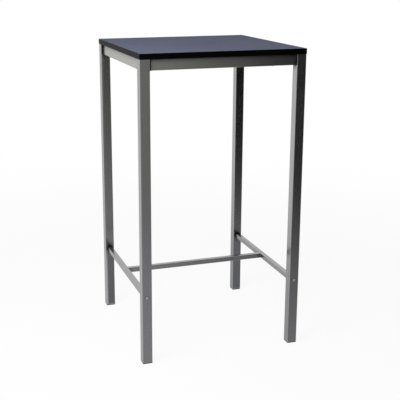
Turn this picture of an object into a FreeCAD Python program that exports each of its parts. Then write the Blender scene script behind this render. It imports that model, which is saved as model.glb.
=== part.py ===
import FreeCAD, Part
import math
import os

# A bar-height table: a square laminated top on four square-tube legs, four aprons held to the legs
# by black moulded corner connectors, and an H-shaped stretcher bolted through the legs.
# Row frame: origin on the floor under the middle of the top, +X to the right, +Y to the back, +Z up.
# Millimetres.

V = FreeCAD.Vector
AXIS_X, AXIS_Y, AXIS_Z = V(1, 0, 0), V(0, 1, 0), V(0, 0, 1)
ORIGIN = V(0, 0, 0)
TOLERANCE = 1e-6              # lengths closer than this count as equal

# ---------------------------------------------------------------- driving dimensions
table_height = 1100.0
top_size = 600.0              # side of the square top
top_thickness = 19.0
top_overhang = 1.0            # top beyond the outer faces of the legs

laminate_thickness = 0.6      # decor above and backer below the board core
edge_band_thickness = 2.0
edge_band_round = 1.0         # long edges of the band
top_corner_round = 2.0        # upright corners of the top

leg_size = 35.0               # square tube
leg_wall = 1.5
leg_round = 2.0               # outer edge radius of the tube
inner_round = 0.3             # least inner edge radius of any tube

apron_height = 38.0           # rectangular tube
apron_thickness = 20.0
apron_wall = 1.5
apron_round = 1.5

rail_size = 18.0              # square tube of the stretcher
rail_wall = 1.5
rail_round = 1.5
rail_height = 250.0           # middle of the stretcher above the floor

shoulder_length = 5.5         # black gap piece between a leg and an apron
shoulder_proud = 0.6          # shoulder beyond the apron's faces and below it
neck_width = 14.0             # where the arm passes through the wall of the leg
neck_height = 30.0
core_length = 60.0            # connector body inside the leg
spigot_length = 36.0          # connector arm inside the apron
connector_wall = 3.0

foot_flange = 4.0             # part of the foot plug that shows
foot_chamfer = 1.0
foot_spigot_length = 24.0
foot_wall = 2.5

plug_clearance = 0.3          # moulded plug to tube wall, bridged by crush ribs
rib_width = 1.6
rib_spacing_share = 0.5       # ribs stand this share of a face's width apart
slot_clearance = 0.3          # neck to the slot in the leg

insert_length = 24.0          # ribbed insert in the end of a side rail
sleeve_radius = 4.0           # threaded sleeve moulded into the insert
sleeve_flange = 9.0           # square flange of the sleeve, behind the insert
sleeve_flange_thickness = 2.0

bolt_radius = 3.0             # M6 button head
bolt_length = 55.0
bolt_tip_chamfer = 0.8
bolt_head_radius = 5.25
bolt_head_height = 3.3
bolt_socket_flats = 4.0
bolt_socket_depth = 2.0
bolt_hole_radius = 3.25
thread_gap = 0.05             # modelled radial gap between a thread and what it bites in

top_screw_radius = 2.0        # wood screw, up through both walls of the apron into the board core
top_screw_length = 50.0
top_screw_from_end = 80.0
pan_head_radius = 4.0
pan_head_height = 2.4
head_rim_share = 0.2          # upright rim of any domed head, as a share of its height
head_flat_share = 0.35        # flat on top of the dome, as a share of its radius
head_bulge_share = 0.12       # how far the dome swells between the two
cross_slot_length = 4.2
cross_slot_width = 1.0
cross_slot_depth = 1.2

weld_leg = 2.5                # fillet weld at the ends of the cross rail
weld_bulge_share = 0.6        # how far its face swells, as a share of the leg

# ---------------------------------------------------------------- places worked out from them
underside = table_height - top_thickness
frame_half = top_size / 2 - top_overhang
leg_centre = frame_half - leg_size / 2
leg_inner = frame_half - leg_size
rail_inner = leg_centre - rail_size / 2
apron_half_length = leg_inner - shoulder_length
apron_bottom = underside - apron_height

# Each corner's name, its signs along X and Y, and the turn that brings the front left corner to it.
CORNERS = (
    ("front_left", -1, -1, 0),
    ("front_right", 1, -1, 90),
    ("back_right", 1, 1, 180),
    ("back_left", -1, 1, 270),
)
# Each side's name and the turn that brings the front side to it.
SIDES = (("front", 0), ("right", 90), ("back", 180), ("left", 270))


# ---------------------------------------------------------------- helpers
def bar(size_x, size_y, size_z, centre_x=0.0, centre_y=0.0, bottom=0.0):
    """A box that stands on z = bottom, its plan centred at the given point."""
    corner = V(centre_x - size_x / 2, centre_y - size_y / 2, bottom)
    return Part.makeBox(size_x, size_y, size_z, corner)


def upright_edges(shape):
    """The straight edges of a shape that run along Z."""
    found = []
    for edge in shape.Edges:
        first, last = edge.Vertexes[0].Point, edge.Vertexes[-1].Point
        if abs(first.x - last.x) < TOLERANCE and abs(first.y - last.y) < TOLERANCE:
            found.append(edge)
    return found


def rounded_bar(size_x, size_y, length, radius):
    """An upright bar from z = 0, centred on Z, with rounded upright edges."""
    box = bar(size_x, size_y, length)
    return box.makeFillet(radius, upright_edges(box))


def tube(size_x, size_y, wall, length, radius):
    """An upright rectangular tube from z = 0, centred on Z."""
    outer = rounded_bar(size_x, size_y, length, radius)
    inner = rounded_bar(size_x - 2 * wall, size_y - 2 * wall, length, max(radius - wall, inner_round))
    return outer.cut(inner)


def laid_along(shape, direction):
    """Turn an upright shape so that its +Z points along +X or +Y."""
    turned = shape.copy()
    if direction == AXIS_X:
        # Its own X points down, its own Y stays.
        turned.rotate(ORIGIN, AXIS_Y, 90)
    else:
        # Its own X stays, its own Y points down.
        turned.rotate(ORIGIN, AXIS_X, -90)
    return turned


def moved(shape, x, y, z):
    """A copy of a shape, moved."""
    copy = shape.copy()
    copy.translate(V(x, y, z))
    return copy


def turned_about_z(shape, degrees):
    """A copy of a shape, turned about the table's middle axis."""
    copy = shape.copy()
    copy.rotate(ORIGIN, AXIS_Z, degrees)
    return copy


def fused(pieces):
    """One solid from several that touch or overlap."""
    whole = pieces[0].fuse(pieces[1:])
    return whole.removeSplitter()


def ribbed_block(inner_x, inner_y, length):
    """A moulded block for a tube of the given inner size, from z = 0 up to z = length.

    It clears the tube on all sides, and two crush ribs on each face bridge the clearance.
    """
    body = bar(inner_x - 2 * plug_clearance, inner_y - 2 * plug_clearance, length)
    ribs = []
    for share in (-rib_spacing_share / 2, rib_spacing_share / 2):
        ribs.append(bar(rib_width, inner_y, length, centre_x=share * inner_x))
        ribs.append(bar(inner_x, rib_width, length, centre_y=share * inner_y))
    return fused([body] + ribs)


def ribbed_plug(inner_x, inner_y, length, wall):
    """A ribbed block made hollow: closed by a roof at z = 0 and open at z = length."""
    hollow_x = inner_x - 2 * (plug_clearance + wall)
    hollow_y = inner_y - 2 * (plug_clearance + wall)
    hollow = bar(hollow_x, hollow_y, length - wall, bottom=wall)
    return ribbed_block(inner_x, inner_y, length).cut(hollow)


def cylinder(radius, length, x, y, z, direction):
    """A cylinder that starts at a point and runs along a direction."""
    return Part.makeCylinder(radius, length, V(x, y, z), direction)


def revolved(points):
    """A solid of revolution about Z from (radius, height) points; the outline is closed on the axis."""
    corners = [V(r, 0, z) for r, z in points]
    wire = Part.makePolygon(corners + [corners[0]])
    return Part.Face(wire).revolve(ORIGIN, AXIS_Z, 360)


def domed_head(radius, height):
    """A screw head whose flat face lies at z = 0 and whose dome rises to z = height."""
    rim = V(radius, 0, head_rim_share * height)
    flat = V(head_flat_share * radius, 0, height)
    # The dome's arc passes a little outside the middle of the straight line from rim to flat.
    bulge = V(head_bulge_share * radius, 0, head_bulge_share * height)
    crown = (rim + flat) * 0.5 + bulge
    foot_edge = V(radius, 0, 0)
    axis_top = V(0, 0, height)
    edges = [
        Part.LineSegment(ORIGIN, foot_edge).toShape(),
        Part.LineSegment(foot_edge, rim).toShape(),
        Part.Arc(rim, crown, flat).toShape(),
        Part.LineSegment(flat, axis_top).toShape(),
        Part.LineSegment(axis_top, ORIGIN).toShape(),
    ]
    return Part.Face(Part.Wire(edges)).revolve(ORIGIN, AXIS_Z, 360)


def button_bolt():
    """An M6 button-head bolt: head above z = 0, shank below it, hexagon socket in the head."""
    shank = revolved([
        (0, 0),
        (bolt_radius, 0),
        (bolt_radius, bolt_tip_chamfer - bolt_length),
        (bolt_radius - bolt_tip_chamfer, -bolt_length),
        (0, -bolt_length),
    ])
    corner = bolt_socket_flats / math.sqrt(3)
    floor = bolt_head_height - bolt_socket_depth
    ring = []
    for step in range(7):
        angle = math.radians(60 * step)
        ring.append(V(corner * math.cos(angle), corner * math.sin(angle), floor))
    socket = Part.Face(Part.makePolygon(ring)).extrude(V(0, 0, bolt_socket_depth))
    return fused([domed_head(bolt_head_radius, bolt_head_height), shank]).cut(socket)


def pan_screw(shank_radius, length):
    """A pan-head screw: head below z = 0, pointed shank above it, cross slot in the head."""
    point = 2 * shank_radius
    shank = revolved([
        (0, 0),
        (shank_radius, 0),
        (shank_radius, length - point),
        (0, length),
    ])
    head = domed_head(pan_head_radius, pan_head_height)
    head.rotate(ORIGIN, AXIS_X, 180)
    slot_bottom = -pan_head_height
    slots = [
        bar(cross_slot_length, cross_slot_width, cross_slot_depth, bottom=slot_bottom),
        bar(cross_slot_width, cross_slot_length, cross_slot_depth, bottom=slot_bottom),
    ]
    return fused([head, shank]).cut(slots)


# ---------------------------------------------------------------- top
def screw_places():
    """Where the top screws go up: one in each apron, near its right end seen from outside."""
    front = V(apron_half_length - top_screw_from_end, -leg_centre, 0)
    return [FreeCAD.Rotation(AXIS_Z, turn).multVec(front) for _, turn in SIDES]


def top_pieces():
    """Board core, laminates and the four strips of edge band."""
    inner = top_size - 2 * edge_band_thickness
    core_bottom = underside + laminate_thickness
    core_height = top_thickness - 2 * laminate_thickness
    core = bar(inner, inner, core_height, bottom=core_bottom)
    backer = bar(inner, inner, laminate_thickness, bottom=underside)
    decor = bar(inner, inner, laminate_thickness, bottom=table_height - laminate_thickness)
    pilot = top_screw_radius + thread_gap
    reach = top_screw_length - apron_height
    for place in screw_places():
        hole = cylinder(pilot, reach + pilot, place.x, place.y, underside, AXIS_Z)
        core = core.cut(hole)
        backer = backer.cut(hole)

    outer = rounded_bar(top_size, top_size, top_thickness, top_corner_round)
    rims = [edge for edge in outer.Edges if edge.BoundBox.ZLength < TOLERANCE]
    outer = outer.makeFillet(edge_band_round, rims)
    ring = moved(outer, 0, 0, underside).cut(bar(inner, inner, top_thickness, bottom=underside))
    # One quarter of the plan, between the diagonals: it mitres each strip of band at 45 degrees.
    corners = [ORIGIN, V(-top_size, -top_size, 0), V(top_size, -top_size, 0), ORIGIN]
    sector = Part.Face(Part.makePolygon(corners)).extrude(V(0, 0, 2 * table_height))
    pieces = {"top_core": core, "top_laminate": decor, "top_backer": backer}
    for name, turn in SIDES:
        pieces["edge_band_" + name] = ring.common(turned_about_z(sector, turn))
    return pieces


# ---------------------------------------------------------------- legs, feet, connectors
def leg_slot():
    """The slot in one inner wall of the leg that a connector arm passes through, along +X."""
    width = neck_width + 2 * slot_clearance
    depth = neck_height + slot_clearance
    return bar(leg_size, width, depth, centre_x=leg_size / 2, bottom=underside - depth)


def leg(sign_x, sign_y, turn):
    """A leg with the two slots at its top and the two holes for the stretcher bolt."""
    length = underside - foot_flange
    body = moved(tube(leg_size, leg_size, leg_wall, length, leg_round), 0, 0, foot_flange)
    slot = leg_slot()
    body = body.cut([slot, turned_about_z(slot, 90)])
    body = moved(turned_about_z(body, turn), sign_x * leg_centre, sign_y * leg_centre, 0)
    start = sign_y * leg_centre - leg_size
    return body.cut(cylinder(bolt_hole_radius, 2 * leg_size, sign_x * leg_centre, start,
                             rail_height, AXIS_Y))


def foot(sign_x, sign_y):
    """A fixed foot plug: a flange under the leg and a ribbed spigot inside it."""
    flange = rounded_bar(leg_size, leg_size, foot_flange, leg_round)
    sole = [edge for edge in flange.Edges
            if edge.BoundBox.ZLength < TOLERANCE and edge.BoundBox.ZMax < foot_flange / 2]
    flange = flange.makeChamfer(foot_chamfer, sole)
    inner = leg_size - 2 * leg_wall
    spigot = moved(ribbed_plug(inner, inner, foot_spigot_length, foot_wall),
                   0, 0, foot_flange)
    return moved(fused([flange, spigot]), sign_x * leg_centre, sign_y * leg_centre, 0)


def connector_arm():
    """One arm along +X, from the leg's axis: neck, black shoulder and ribbed spigot."""
    core_half = leg_size / 2 - leg_wall - plug_clearance
    neck_length = leg_size / 2 - core_half
    neck = bar(neck_length, neck_width, neck_height, centre_x=core_half + neck_length / 2,
               bottom=underside - neck_height)
    shoulder_thickness = apron_thickness + 2 * shoulder_proud
    shoulder_height = apron_height + shoulder_proud
    shoulder = bar(shoulder_length, shoulder_thickness, shoulder_height,
                   centre_x=leg_size / 2 + shoulder_length / 2, bottom=underside - shoulder_height)
    inner_height, inner_width = apron_height - 2 * apron_wall, apron_thickness - 2 * apron_wall
    spigot = laid_along(ribbed_plug(inner_height, inner_width, spigot_length, connector_wall),
                        AXIS_X)
    spigot = moved(spigot, leg_size / 2 + shoulder_length, 0, underside - apron_height / 2)
    return fused([neck, shoulder, spigot])


def connector(sign_x, sign_y, turn):
    """A corner connector: a ribbed core in the top of the leg and two arms at right angles."""
    inner = leg_size - 2 * leg_wall
    core = ribbed_plug(inner, inner, core_length, connector_wall)
    core.rotate(ORIGIN, AXIS_X, 180)
    core.translate(V(0, 0, underside))
    arm = connector_arm()
    whole = fused([core, arm, turned_about_z(arm, 90)])
    return moved(turned_about_z(whole, turn), sign_x * leg_centre, sign_y * leg_centre, 0)


# ---------------------------------------------------------------- aprons
def apron(turn):
    """An apron tube with its screw hole, made along X at the front and turned to its side."""
    length = 2 * apron_half_length
    body = laid_along(tube(apron_height, apron_thickness, apron_wall, length, apron_round), AXIS_X)
    body = moved(body, -apron_half_length, -leg_centre, underside - apron_height / 2)
    hole = cylinder(top_screw_radius + slot_clearance, apron_height,
                    apron_half_length - top_screw_from_end, -leg_centre, apron_bottom, AXIS_Z)
    return turned_about_z(body.cut(hole), turn)


def top_screws():
    """The four screws that hold the top: their heads bear on the undersides of the aprons."""
    screw = pan_screw(top_screw_radius, top_screw_length)
    return Part.makeCompound(
        [moved(screw, place.x, place.y, apron_bottom) for place in screw_places()])


# ---------------------------------------------------------------- stretcher
def side_rail(sign_x):
    """A square tube from the front leg to the back leg."""
    body = laid_along(tube(rail_size, rail_size, rail_wall, 2 * leg_inner, rail_round), AXIS_Y)
    return moved(body, sign_x * leg_centre, -leg_inner, rail_height)


def cross_rail():
    """A square tube between the middles of the side rails."""
    body = laid_along(tube(rail_size, rail_size, rail_wall, 2 * rail_inner, rail_round), AXIS_X)
    return moved(body, -rail_inner, 0, rail_height)


def cross_rail_welds():
    """Four upright fillet welds where the cross rail meets the side rails."""
    height = rail_size - 2 * rail_round
    bulge = weld_bulge_share * weld_leg
    beads = []
    for sign_x in (-1, 1):
        for sign_y in (-1, 1):
            x, y = sign_x * rail_inner, sign_y * rail_size / 2
            bottom = rail_height - height / 2
            heel = V(x, y, bottom)
            on_side = V(x, y + sign_y * weld_leg, bottom)
            on_cross = V(x - sign_x * weld_leg, y, bottom)
            crown = V(x - sign_x * bulge, y + sign_y * bulge, bottom)
            outline = Part.Wire([
                Part.LineSegment(heel, on_side).toShape(),
                Part.Arc(on_side, crown, on_cross).toShape(),
                Part.LineSegment(on_cross, heel).toShape(),
            ])
            beads.append(Part.Face(outline).extrude(V(0, 0, height)))
    return Part.makeCompound(beads)


def rail_insert(sign_x, sign_y):
    """A ribbed block in the end of a side rail, bored for its threaded sleeve."""
    inner = rail_size - 2 * rail_wall
    plug = ribbed_block(inner, inner, insert_length)
    plug = plug.cut(cylinder(sleeve_radius + thread_gap, insert_length, 0, 0, 0, AXIS_Z))
    plug = laid_along(plug, AXIS_Y)
    if sign_y > 0:
        plug.rotate(ORIGIN, AXIS_Z, 180)
    return moved(plug, sign_x * leg_centre, sign_y * leg_inner, rail_height)


def rail_insert_sleeves():
    """The four threaded sleeves: a barrel in each insert and a square flange behind it."""
    barrel = cylinder(sleeve_radius, insert_length, 0, 0, 0, AXIS_Z)
    flange = bar(sleeve_flange, sleeve_flange, sleeve_flange_thickness, bottom=insert_length)
    length = insert_length + sleeve_flange_thickness
    bore = cylinder(bolt_radius + thread_gap, length, 0, 0, 0, AXIS_Z)
    sleeve = laid_along(fused([barrel, flange]).cut(bore), AXIS_Y)
    pieces = []
    for _, sign_x, sign_y, _ in CORNERS:
        piece = sleeve if sign_y < 0 else turned_about_z(sleeve, 180)
        pieces.append(moved(piece, sign_x * leg_centre, sign_y * leg_inner, rail_height))
    return Part.makeCompound(pieces)


def stretcher_bolts():
    """The four bolts through the legs into the side rails, heads on the front and back faces."""
    bolt = button_bolt()
    # The head's +Z is turned to face row -Y.
    bolt.rotate(ORIGIN, AXIS_X, 90)
    pieces = []
    for _, sign_x, sign_y, _ in CORNERS:
        piece = bolt if sign_y < 0 else turned_about_z(bolt, 180)
        pieces.append(moved(piece, sign_x * leg_centre, sign_y * frame_half, rail_height))
    return Part.makeCompound(pieces)


# ---------------------------------------------------------------- all pieces
def all_pieces():
    """Every sub-part by its node name."""
    pieces = top_pieces()
    for name, sign_x, sign_y, turn in CORNERS:
        pieces["leg_" + name] = leg(sign_x, sign_y, turn)
        pieces["foot_" + name] = foot(sign_x, sign_y)
        pieces["connector_" + name] = connector(sign_x, sign_y, turn)
        pieces["rail_insert_" + name] = rail_insert(sign_x, sign_y)
    for name, turn in SIDES:
        pieces["apron_" + name] = apron(turn)
    pieces["side_rail_left"] = side_rail(-1)
    pieces["side_rail_right"] = side_rail(1)
    pieces["cross_rail"] = cross_rail()
    pieces["cross_rail_welds"] = cross_rail_welds()
    pieces["rail_insert_sleeves"] = rail_insert_sleeves()
    pieces["stretcher_bolts"] = stretcher_bolts()
    pieces["top_screws"] = top_screws()
    return pieces


os.makedirs("parts", exist_ok=True)
for node, shape in all_pieces().items():
    shape.exportStep("parts/" + node + ".step")
    box = shape.BoundBox
    print("%-28s solids %2d valid %s volume %9.1f  x %.1f..%.1f y %.1f..%.1f z %.1f..%.1f" % (
        node, len(shape.Solids), shape.isValid(), shape.Volume,
        box.XMin, box.XMax, box.YMin, box.YMax, box.ZMin, box.ZMax))
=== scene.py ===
# %% [markdown]
# # A bar-height table, dressed piece by piece
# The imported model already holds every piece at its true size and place. This lesson gives each piece
# that shows a smooth surface of its own and a finish. The pieces could be drawn by hand in Edit Mode,
# but then no size would follow the frame. So surfaces are worked out with numpy as whole arrays: an
# outline, a section, and a rule that carries one along the other. Lengths are in metres.

import bmesh
import bpy
import numpy as np
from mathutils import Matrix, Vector


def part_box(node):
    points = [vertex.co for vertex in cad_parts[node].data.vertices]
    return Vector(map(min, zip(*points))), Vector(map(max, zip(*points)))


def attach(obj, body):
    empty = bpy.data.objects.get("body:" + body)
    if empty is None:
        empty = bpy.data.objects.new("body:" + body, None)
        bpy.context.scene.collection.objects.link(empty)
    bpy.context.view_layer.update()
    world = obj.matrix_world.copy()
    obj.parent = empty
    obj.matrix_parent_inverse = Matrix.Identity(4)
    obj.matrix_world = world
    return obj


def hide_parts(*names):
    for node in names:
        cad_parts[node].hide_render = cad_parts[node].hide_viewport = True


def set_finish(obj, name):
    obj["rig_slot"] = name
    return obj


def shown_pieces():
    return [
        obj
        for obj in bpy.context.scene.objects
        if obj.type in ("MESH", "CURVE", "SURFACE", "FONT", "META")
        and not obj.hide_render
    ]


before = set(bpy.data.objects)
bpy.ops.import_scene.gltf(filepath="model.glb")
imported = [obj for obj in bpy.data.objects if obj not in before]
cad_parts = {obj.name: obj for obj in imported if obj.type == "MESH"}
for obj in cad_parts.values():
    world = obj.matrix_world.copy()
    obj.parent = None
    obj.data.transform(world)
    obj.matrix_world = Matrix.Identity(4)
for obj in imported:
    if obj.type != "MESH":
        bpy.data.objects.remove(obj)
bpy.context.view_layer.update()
MM = 0.001
CORNERS = ("front_left", "front_right", "back_right", "back_left")
SIDES = ("front", "right", "back", "left")


# %% [markdown]
# ## From numbers to a mesh
# Every surface below is a grid of points: rows run along a section, columns run round an outline.
# Four neighbours make one face. A grid that closes on itself joins its last row or column to its
# first. Points that fall together, as at the middle of an end cap, are merged afterwards. A loop
# could lay the faces one by one, but whole arrays are quicker and keep the rule in sight. The grid's
# own lengths become a UV map in metres, so that a finish can follow a tube along its length.


# %% Grid to mesh
def put_in_scene(name, data):
    """A new object made from its data, at the origin and linked to the scene."""
    made = bpy.data.objects.new(name, data)
    bpy.context.scene.collection.objects.link(made)
    return made


def grid_corners(rows, columns, close_rows, close_columns):
    """Row and column numbers of each face's four corners, one past the end where the grid closes."""
    row = np.arange(rows if close_rows else rows - 1)
    column = np.arange(columns if close_columns else columns - 1)
    row, column = [part.ravel() for part in np.meshgrid(row, column, indexing="ij")]
    return (np.stack([row, row, row + 1, row + 1], 1),
            np.stack([column, column + 1, column + 1, column], 1))


def run_length(points, axis, closed):
    """Distance travelled from point to point along one axis of the grid, as one value a station."""
    ahead = np.roll(points, -1, axis) if closed else np.take(points, range(1, points.shape[axis]), axis)
    here = points if closed else np.take(points, range(points.shape[axis] - 1), axis)
    steps = np.linalg.norm(ahead - here, axis=2).max(axis=1 - axis)
    return np.concatenate([[0.0], np.cumsum(steps)])


def grid_mesh(name, grids, close_rows=False, close_columns=True):
    """A mesh object from one or more point grids of shape (rows, columns, 3)."""
    points, faces, uvs, start = [], [], [], 0
    for grid in grids:
        rows, columns, _ = grid.shape
        face_row, face_column = grid_corners(rows, columns, close_rows, close_columns)
        along = run_length(grid, 0, close_rows)
        around = run_length(grid, 1, close_columns)
        uvs.append(np.stack([around[face_column], along[face_row]], 2).reshape(-1, 2))
        faces.append(start + (face_row % rows) * columns + face_column % columns)
        points.append(grid.reshape(-1, 3))
        start += rows * columns
    points, faces, uvs = np.concatenate(points), np.concatenate(faces), np.concatenate(uvs)

    mesh = bpy.data.meshes.new(name)
    mesh.vertices.add(len(points))
    mesh.vertices.foreach_set("co", points.astype(np.float32).ravel())
    mesh.loops.add(faces.size)
    mesh.loops.foreach_set("vertex_index", faces.astype(np.int32).ravel())
    mesh.polygons.add(len(faces))
    mesh.polygons.foreach_set("loop_start", np.arange(0, faces.size, 4, dtype=np.int32))
    mesh.update(calc_edges=True)
    mesh.uv_layers.new(name="run").data.foreach_set("uv", uvs.astype(np.float32).ravel())
    return put_in_scene(name, mesh)


# %% [markdown]
# ## Shading a machined piece
# A tube is broad flat faces with narrow rounds between them. Plain smooth shading would bend the
# light across the whole flat. So true corners are marked sharp, and the Weighted Normal modifier
# lets the broad faces decide: flats stay flat, and only the rounds catch a highlight.

# %% Finish, check and register a piece
SHARP_ANGLE = np.radians(40)
SAME_POINT = 1e-7
CUBIC_CM = 1e-6


def measured_volume(mesh):
    """Volume from the signed tetrahedra under every triangle: positive if faces point outwards."""
    mesh.calc_loop_triangles()
    corners = np.zeros(len(mesh.loop_triangles) * 3, np.int32)
    mesh.loop_triangles.foreach_get("vertices", corners)
    points = np.zeros(len(mesh.vertices) * 3)
    mesh.vertices.foreach_get("co", points)
    a, b, c = points.reshape(-1, 3)[corners.reshape(-1, 3)].transpose(1, 0, 2)
    return float((np.cross(a, b) * c).sum() / 6)


def smooth_machined(piece):
    """Merge coinciding points, drop faces without area, shade flats flat; returns the open edges."""
    work = bmesh.new()
    work.from_mesh(piece.data)
    bmesh.ops.remove_doubles(work, verts=work.verts, dist=SAME_POINT)
    bmesh.ops.dissolve_degenerate(work, edges=work.edges, dist=SAME_POINT)
    open_edges = sum(not edge.is_manifold for edge in work.edges)
    work.to_mesh(piece.data)
    work.free()
    piece.data.polygons.foreach_set("use_smooth", np.ones(len(piece.data.polygons), bool))
    piece.data.set_sharp_from_angle(angle=SHARP_ANGLE)
    weighted = piece.modifiers.new("broad faces decide", "WEIGHTED_NORMAL")
    weighted.weight = 100
    weighted.keep_sharp = True
    return open_edges


def fit_piece(piece, slot, nodes):
    """Finish the piece's mesh, let it ride with the table and stand for the nodes it replaces."""
    open_edges = smooth_machined(piece)
    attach(piece, "root")
    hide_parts(*nodes)
    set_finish(piece, slot)
    print("%-26s faces %6d  open edges %d  volume %9.2f cm3" % (
        piece.name, len(piece.data.polygons), open_edges, measured_volume(piece.data) / CUBIC_CM))


# %% [markdown]
# ## One rule for tubes, plugs, boards and bands
# Most of this table is a rounded rectangle in plan with a section that follows its rim. A section
# is a list of (inset, height) pairs: how far in from the rim, and how high. Moving a rounded
# rectangle inwards keeps its corner centres and shrinks the corner circles until they are points;
# after that the sides close in. An inset as deep as half the width brings all points to the middle
# line, and that shuts an end without a separate cap. A cube with a Bevel modifier has the same
# outside, but no wall, no open end and no sole with a recess.


# %% Rounded outline and carried section
def rounded_outline(half_x, half_y, radius, insets, corner_steps=4):
    """Plan points of a rounded rectangle at each inset, counter-clockwise, shape (insets, points, 2).

    Four quarter circles stand at the corner centres. At an inset, each circle's radius is the
    first radius less the inset, but not below zero, and its centre stays put until the radius is
    used up, then moves towards the middle and stops there.
    """
    insets = np.asarray(insets, float)[:, None]
    arc = np.clip(radius - insets, 0, None)
    centre_x = np.clip(half_x - insets - arc, 0, None)
    centre_y = np.clip(half_y - insets - arc, 0, None)
    quarter = np.repeat(np.arange(4), corner_steps + 1)
    angle = (quarter + np.tile(np.linspace(0, 1, corner_steps + 1), 4)) * np.pi / 2
    side_x = np.array([1, -1, -1, 1])[quarter]
    side_y = np.array([1, 1, -1, -1])[quarter]
    return np.stack([side_x * centre_x + arc * np.cos(angle),
                     side_y * centre_y + arc * np.sin(angle)], 2)


def carried_section(section, half_x, half_y, radius, corner_steps=4):
    """A section of (inset, height) pairs carried round an outline: rows are pairs, columns go round."""
    section = np.asarray(section, float)
    plan = rounded_outline(half_x, half_y, radius, section[:, 0], corner_steps)
    height = np.broadcast_to(section[:, 1, None, None], plan.shape[:2] + (1,))
    return np.concatenate([plan, height], 2)


def rounded_turn(corner, start, end, radius, steps=3):
    """Section points round one corner, on a quarter circle from the start's side to the end's side.

    The points are corner + radius * (u (1 - sin a) + v (1 - cos a)) for a from 0 to a right angle,
    where u points to start and v points to end.
    """
    corner = np.asarray(corner, float)
    u, v = [np.sign(np.round(np.asarray(end_point, float) - corner, 9)) for end_point in (start, end)]
    angle = np.linspace(0, np.pi / 2, steps + 1)[:, None]
    return corner + radius * (u * (1 - np.sin(angle)) + v * (1 - np.cos(angle)))


# %% [markdown]
# A square tube is the section of its own wall: up the outside, over the end, down the inside and
# back. Cut tube ends are deburred, so the four corners of the wall get a small round. Turning and
# scaling one tube object would squash these rounds, so each tube is worked out from its own node's
# box, and stands exactly where the solid one does.

# %% Tubes upright, along X and along Y
TUBE_WALL = 1.5 * MM
END_ROUND = 0.3 * MM
# For a tube along X, Y or Z: which sides of its box are the upright tube's width and depth.
ACROSS = ([2, 1], [0, 2], [0, 1])


def wall_section(wall, low, high, round_off):
    """The closed section of a tube's wall between two heights, with its four corners rounded off."""
    outer_low, outer_high = (0, low), (0, high)
    inner_high, inner_low = (wall, high), (wall, low)
    return np.concatenate([
        rounded_turn(outer_low, inner_low, outer_high, round_off),
        rounded_turn(outer_high, outer_low, inner_high, round_off),
        rounded_turn(inner_high, outer_high, inner_low, round_off),
        rounded_turn(inner_low, inner_high, outer_low, round_off),
    ])


def laid(points, axis):
    """Upright points laid so that up becomes +X or +Y, by a quarter turn about Y or X, or left upright."""
    x, y, z = np.moveaxis(points, 2, 0)
    return np.stack([(z, y, -x), (x, z, -y), (x, y, z)][axis], 2)


def moved_to(points, x, y, z):
    """Points moved by a distance along each axis."""
    return points + np.array([x, y, z])


def size_and_middle(node):
    """The size and the middle of a node's box."""
    low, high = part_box(node)
    return np.array(high - low), np.array((low + high) / 2)


def fit_tube(node, edge_round, corner_steps=4):
    """A tube in place of a node: its wall section carried round, and laid along its box's longest side."""
    size, middle = size_and_middle(node)
    axis = int(size.argmax())
    width, depth = size[ACROSS[axis]]
    section = wall_section(TUBE_WALL, -size[axis] / 2, size[axis] / 2, END_ROUND)
    upright = carried_section(section, width / 2, depth / 2, edge_round, corner_steps)
    tube = grid_mesh(node + "_tube", [moved_to(laid(upright, axis), *middle)], close_rows=True)
    fit_piece(tube, "frame_metal", [node])


# %% [markdown]
# ## Legs
# The legs are 35 mm square steel tube with soft 2 mm edges. These edges catch long highlights, so
# they get more steps than those of the thinner tubes. One leg with a Mirror modifier would do as
# well, but each of the four has its own name in the frame.

# %% Four legs
LEG_ROUND = 2 * MM
LEG_CORNER_STEPS = 6
for corner in CORNERS:
    fit_tube("leg_" + corner, LEG_ROUND, LEG_CORNER_STEPS)

# %% [markdown]
# ## Aprons
# Under the top, four flat tubes tie the legs together. A bar without a wall would look the same from
# outside, but the arms of the corner connectors sit in the open ends. So each is the same carried
# section laid on its side: the plan becomes the cross-section, and the height becomes the length.

# %% Four aprons
APRON_ROUND = 1.5 * MM
for side in SIDES:
    fit_tube("apron_" + side, APRON_ROUND)

# %% [markdown]
# ## Stretcher
# Low down, an H of thin square tube keeps the legs from spreading: two side rails from front to
# back and one cross rail between their middles. They could be one joined mesh, but the real H is
# three tubes with a fine line where they meet, and three tubes draw that line by themselves.

# %% Side rails and cross rail
RAIL_ROUND = 1.5 * MM
for node in ("side_rail_left", "side_rail_right", "cross_rail"):
    fit_tube(node, RAIL_ROUND)

# %% [markdown]
# ## Weld beads
# The cross rail is welded to the side rails. A hand-laid bead is a row of small crescents, each
# drop frozen over the one before. A bump could draw them, but not the bead's wavy outline. So the
# surface is a quarter-round carried upwards whose radius rises and falls once a drop, tilted
# because the middle of each drop runs ahead of its edges.

# %% Four rippled beads
BEAD_LEG = 2.5 * MM
BEAD_BULGE = 0.1
RIPPLES = 9
RIPPLE_DEPTH = 0.14
RIPPLE_LAG = 0.35
END_FULLNESS = 8


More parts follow.
